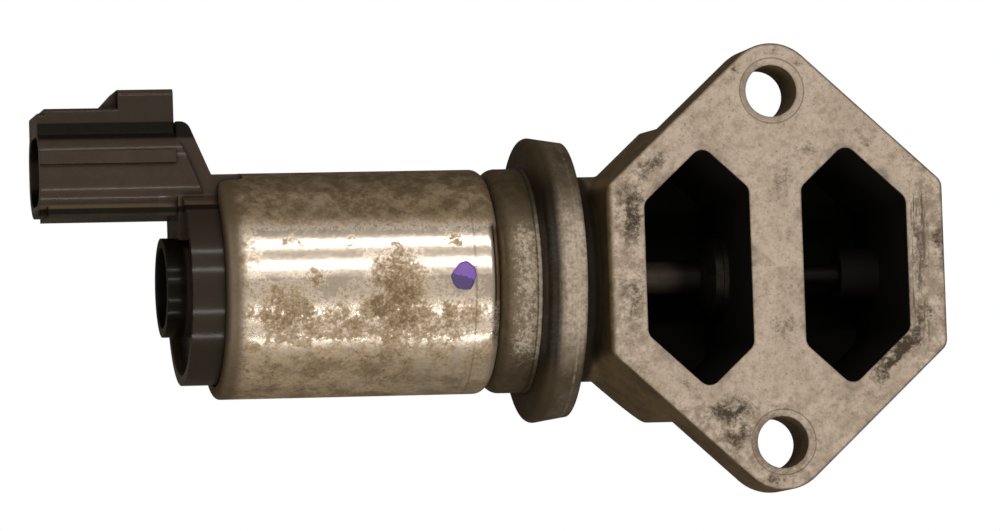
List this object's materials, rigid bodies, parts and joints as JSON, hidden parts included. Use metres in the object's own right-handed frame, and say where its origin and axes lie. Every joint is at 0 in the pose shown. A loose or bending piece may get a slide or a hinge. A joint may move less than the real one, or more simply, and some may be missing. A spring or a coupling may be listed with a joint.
{
  "type": "idle air control valve",
  "caption": "Solenoid air valve: a steel can with a side plug drives a poppet in a cast body, whose diamond flange has ports either side of the seat.",
  "frame": {"origin": "centre of the sealing face, midway between the two bolt holes", "axes": "+Z out of the sealing face, +Y along the bolt line towards the plug's side, +X along the valve axis away from the plug"},
  "size_m": [0.1284, 0.0638, 0.0415],
  "materials": {
    "cast_aluminium": "die-cast, stained and dull",
    "plated_steel": "plated, bright with brown stains",
    "collar_steel": "plated, oxidised",
    "black_plastic": "moulded, satin",
    "tinned_brass": "tinned",
    "filter_foam": "open-cell",
    "seal_rubber": "moulded",
    "magnet_steel": "turned",
    "bobbin_plastic": "moulded",
    "copper_wire": "enamelled",
    "sleeve_brass": "drawn",
    "spring_steel": "drawn",
    "stem_steel": "ground",
    "seat_steel": "turned",
    "bush_bronze": "sintered"
  },
  "bodies": {
    "housing": {"valve_body": "cast_aluminium", "crimp_collar": "collar_steel", "solenoid_can": "plated_steel", "end_cap": "black_plastic", "terminal_blades": "tinned_brass", "vent_filter": "filter_foam", "cap_seal": "seal_rubber", "body_seal": "seal_rubber", "front_pole": "magnet_steel", "coil_bobbin": "bobbin_plastic", "coil_winding": "copper_wire", "yoke_washer": "magnet_steel", "fixed_core": "magnet_steel", "guide_sleeve": "sleeve_brass", "spring_adjuster": "sleeve_brass", "return_spring": "spring_steel", "valve_seat": "seat_steel", "stem_bush": "bush_bronze", "tail_bush": "bush_bronze"},
    "plunger": {"armature": "magnet_steel", "valve_stem": "stem_steel", "valve_head": "seat_steel", "head_clip": "spring_steel"}
  },
  "joints": [
    {"name": "plunger_slide", "type": "slide", "parent": "housing", "child": "plunger", "axis": [-1, 0, 0], "range_m": [0, 0.004], "stiffness_N_per_m": 600, "springref_m": -0.005, "deforming": ["return_spring"]}
  ]
}
